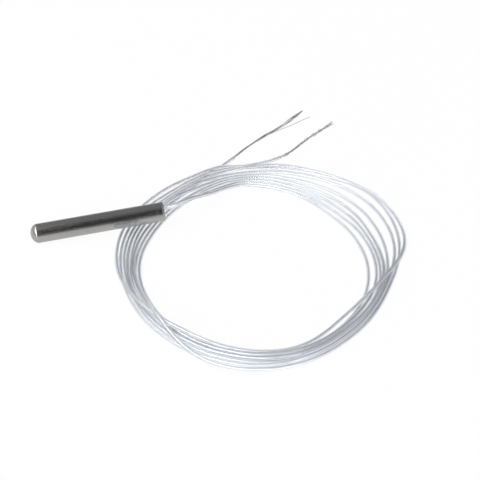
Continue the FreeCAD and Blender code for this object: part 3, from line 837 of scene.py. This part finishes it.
def inner_finish(name):
    """Finish of an inner piece, varied by one grain in colour, gloss and relief."""
    dark, light, dull, glossy, metal, scale, depth = INNER_LOOKS[name]
    finish = Finish(name, Metallic=metal)
    grain = finish.grain(scale, detail=4.0)
    finish.tint(grain, dark, light)
    finish.roughen(grain, dull, glossy)
    finish.relief(grain, depth * MM, strength=0.5)
    return finish.material


def floor_finish(colour):
    """Pale floor that camera, metal and clear plastic see as white; the rest is lit and keeps a shadow."""
    material = bpy.data.materials.new("pale_floor")
    material.use_nodes = True
    nodes, links = material.node_tree.nodes, material.node_tree.links
    nodes.clear()
    output = nodes.new("ShaderNodeOutputMaterial")
    mix = nodes.new("ShaderNodeMixShader")
    lit = nodes.new("ShaderNodeBsdfDiffuse")
    lit.inputs["Color"].default_value = (*colour, 1.0)
    glow = nodes.new("ShaderNodeEmission")
    path = nodes.new("ShaderNodeLightPath")
    seen = path.outputs["Is Camera Ray"]
    for kind in ("Is Glossy Ray", "Is Transmission Ray"):
        either = nodes.new("ShaderNodeMath")
        either.operation = "MAXIMUM"
        links.new(seen, either.inputs[0])
        links.new(path.outputs[kind], either.inputs[1])
        seen = either.outputs["Value"]
    share = nodes.new("ShaderNodeMath")
    share.operation = "MULTIPLY"
    share.inputs[1].default_value = FLOOR_GLOW
    links.new(seen, share.inputs[0])
    links.new(share.outputs["Value"], mix.inputs["Fac"])
    links.new(lit.outputs["BSDF"], mix.inputs[1])
    links.new(glow.outputs["Emission"], mix.inputs[2])
    links.new(mix.outputs["Shader"], output.inputs["Surface"])
    return material


def floor_mesh(name, size, rings=24, sides=96):
    """Flat disc of rings, whose radii are its own times even steps squared, and one face in the middle."""
    angle = 2 * np.pi * np.arange(sides) / sides
    radius = size * np.linspace(FLOOR_MIDDLE, 1.0, rings)[::-1, None] ** 2
    points = np.stack([radius * np.cos(angle), radius * np.sin(angle), np.zeros((rings, sides))], axis=-1)
    faces = ring_faces(rings, sides).reshape(-1, 4)
    middle = (rings - 1) * sides + np.arange(sides)
    mesh = bpy.data.meshes.new(name)
    mesh.from_pydata(points.reshape(-1, 3).tolist(), [], faces.tolist() + [middle.tolist()])
    return mesh


def light_room(settings):
    """Tent over a pale horizon: a dark gap that runs overhead from front to back and is paler behind, a lit
    strip left of it, a faint one right of it, and dimmer cloth at both sides. The sheath shows the gap, and
    the leads show the strips."""
    world = bpy.data.worlds.new("room")
    bpy.context.scene.world = world
    world.use_nodes = True
    nodes, links = world.node_tree.nodes, world.node_tree.links
    place = nodes.new("ShaderNodeTexCoord")
    axes = nodes.new("ShaderNodeSeparateXYZ")
    links.new(place.outputs["Generated"], axes.inputs["Vector"])

    def blend(axis, start, end, low, high):
        """One colour that turns smoothly into another between two places on an axis."""
        share = nodes.new("ShaderNodeMapRange")
        share.interpolation_type = "SMOOTHSTEP"
        share.inputs["From Min"].default_value = start
        share.inputs["From Max"].default_value = end
        links.new(axes.outputs[axis], share.inputs["Value"])
        mix = nodes.new("ShaderNodeMix")
        mix.data_type = "RGBA"
        links.new(share.outputs["Result"], mix.inputs["Factor"])
        for socket, colour in (("A", low), ("B", high)):
            if isinstance(colour, bpy.types.NodeSocket):
                links.new(colour, mix.inputs[socket])
            else:
                mix.inputs[socket].default_value = (*colour, 1.0)
        return mix.outputs["Result"]

    gap = blend("Y", *GAP_FADE, settings.front, settings.back)
    strip = blend("Y", *STRIP_FADE, settings.strip, settings.tent)
    tent = blend("X", *STRIP_END, strip, settings.tent)
    left = blend("X", *GAP_END, gap, tent)
    faint = blend("Y", *FAINT_FADE, settings.faint, settings.right)
    middle = blend("X", *FAINT_END, faint, left)
    around = blend("X", *RIGHT_END, settings.right, middle)
    colour = blend("Z", *HORIZON, around, settings.floor)
    links.new(colour, nodes["Background"].inputs["Color"])


def add_pane(name, place):
    """Square lamp that faces the object; its power is radiance times pi times its area."""
    light = bpy.data.lights.new(name, "AREA")
    light.size = PANE_SIZE
    light.energy = PANE_RADIANCE * math.pi * PANE_SIZE**2
    lamp = bpy.data.objects.new(name, light)
    lamp.location = place
    lamp.rotation_euler = (-Vector(place)).to_track_quat("-Z", "Y").to_euler()
    bpy.context.scene.collection.objects.link(lamp)


def add_camera(settings):
    """Camera at a distance from its target, by azimuth and elevation, that looks at it."""
    camera = bpy.data.objects.new("camera", bpy.data.cameras.new("camera"))
    camera.data.lens = settings.lens
    camera.data.sensor_width = SENSOR_WIDTH
    camera.data.sensor_fit = "HORIZONTAL"
    camera.data.clip_start = NEAREST
    back = Vector((
        math.sin(settings.azimuth) * math.cos(settings.elevation),
        -math.cos(settings.azimuth) * math.cos(settings.elevation),
        math.sin(settings.elevation),
    ))
    camera.location = Vector(settings.target) + settings.distance * back
    camera.rotation_euler = back.to_track_quat("Z", "Y").to_euler()
    bpy.context.scene.collection.objects.link(camera)
    bpy.context.scene.camera = camera


class RTD_OT_stage(bpy.types.Operator):
    """Set up the camera, the floor, the room and the lamps"""

    bl_idname = "rtd_probe.stage"
    bl_label = "Set the Stage"

    def execute(self, context):
        settings = context.scene.rtd_stage
        context.scene.view_settings.view_transform = "Standard"
        add_camera(settings)
        floor = bpy.data.objects.new("floor", floor_mesh("floor", settings.floor_radius))
        floor.data.materials.append(floor_finish(settings.floor))
        context.scene.collection.objects.link(floor)
        light_room(settings)
        for row in range(2):
            for column in range(2):
                x, y, z = PANE_PLACE
                place = (x + PANE_STEP[0] * column, y + PANE_STEP[1] * row, z)
                add_pane(f"window_{row}_{column}", place)
        return {"FINISHED"}


class RTD_OT_leads(bpy.types.Operator):
    """Wind both leads and lay their bare strands"""

    bl_idname = "rtd_probe.leads"
    bl_label = "Wind the Leads"

    def execute(self, context):
        settings = context.scene.rtd_leads
        routes, free = zip(*(start_route(lead) for lead in (1, 2)))
        settled = Settling(routes, free, settings, context.scene.rtd_sheath).run()
        cover_look = clear_cover(settings)
        strand_look = plated_strand("plated_strand", settings.plating)
        bare_look = plated_strand("bare_strand", settings.bare)
        for lead, points in zip((1, 2), settled):
            line = route_line(f"lead_{lead}_route", points)
            along = distances(line)
            near = np.linalg.norm(line - np.array(STRIP_POINT[lead]) * MM, axis=1).argmin()
            strip = along[near]
            core_end = strip - CORE_INSET * MM
            core_line = cut_line(line, 0.0, core_end)
            bare_line = cut_line(line, core_end, along[-1])
            cover_line = cut_line(line, COVER_START * MM, strip)
            last_turn = 2 * np.pi * core_end / settings.lay
            core = add_piece(
                f"lead_{lead}_core",
                [stranded_core(core_line, settings.strand, settings.lay)],
                strand_look, (f"lead_{lead}_conductor",),
            )
            strands = add_piece(
                f"lead_{lead}_bare_end",
                bare_strands(bare_line, last_turn, settings.strand, BARE_LAY[lead] * MM, SWELL[lead]),
                bare_look, (f"lead_{lead}_strands",),
            )
            if lead == 1:
                stray = route_line("stray_route", np.array(STRAY_ROUTE))
                add_piece(
                    "lead_1_stray_strand",
                    [tube(stray, settings.strand / 2, BARE_SIDES)],
                    bare_look,
                )
            cover = add_piece(
                f"lead_{lead}_cover",
                [tube(cover_line, settings.diameter / 2, settings.sides)],
                cover_look,
                (f"lead_{lead}_insulation", f"lead_{lead}_tail") + (("lead_coil",) if lead == 1 else ()),
            )
        return {"FINISHED"}


class RTD_OT_sheath(bpy.types.Operator):
    """Turn the steel sheath"""

    bl_idname = "rtd_probe.sheath"
    bl_label = "Turn the Sheath"

    def execute(self, context):
        settings = context.scene.rtd_sheath
        steel = polished_steel(settings)
        add_piece("sheath_tube", [turned_sheath(settings)], steel, ("sheath",))
        return {"FINISHED"}


class RTD_OT_inner_pieces(bpy.types.Operator):
    """Give the pieces inside the sheath their finishes"""

    bl_idname = "rtd_probe.inner_pieces"
    bl_label = "Finish the Inner Pieces"

    def execute(self, context):
        looks = {name: inner_finish(name) for name in INNER_LOOKS}
        for node, look in INNER_FINISHES.items():
            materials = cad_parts[node].data.materials
            materials.clear()
            materials.append(looks[look])
        return {"FINISHED"}


class RTD_PT_probe(bpy.types.Panel):
    """Lists the steps and sizes of the probe"""

    bl_idname = "RTD_PT_probe"
    bl_label = "RTD Probe"
    bl_space_type = "VIEW_3D"
    bl_region_type = "UI"
    bl_category = "RTD Probe"

    def draw(self, context):
        for operator in OPERATORS:
            self.layout.operator(operator.bl_idname)
        for settings in (context.scene.rtd_stage, context.scene.rtd_leads, context.scene.rtd_sheath):
            box = self.layout.box()
            for name in settings.__annotations__:
                box.prop(settings, name)


OPERATORS = (RTD_OT_stage, RTD_OT_leads, RTD_OT_sheath, RTD_OT_inner_pieces)
CLASSES = (SheathSettings, LeadSettings, StageSettings) + OPERATORS + (RTD_PT_probe,)


def register():
    for cls in CLASSES:
        bpy.utils.register_class(cls)
    bpy.types.Scene.rtd_sheath = PointerProperty(type=SheathSettings)
    bpy.types.Scene.rtd_leads = PointerProperty(type=LeadSettings)
    bpy.types.Scene.rtd_stage = PointerProperty(type=StageSettings)


def unregister():
    for name in ("rtd_sheath", "rtd_leads", "rtd_stage"):
        delattr(bpy.types.Scene, name)
    for cls in reversed(CLASSES):
        bpy.utils.unregister_class(cls)


def main():
    """Builds the stage and every piece."""
    register()
    bpy.ops.rtd_probe.stage()
    bpy.ops.rtd_probe.leads()
    bpy.ops.rtd_probe.sheath()
    bpy.ops.rtd_probe.inner_pieces()


if __name__ == "__main__":
    main()
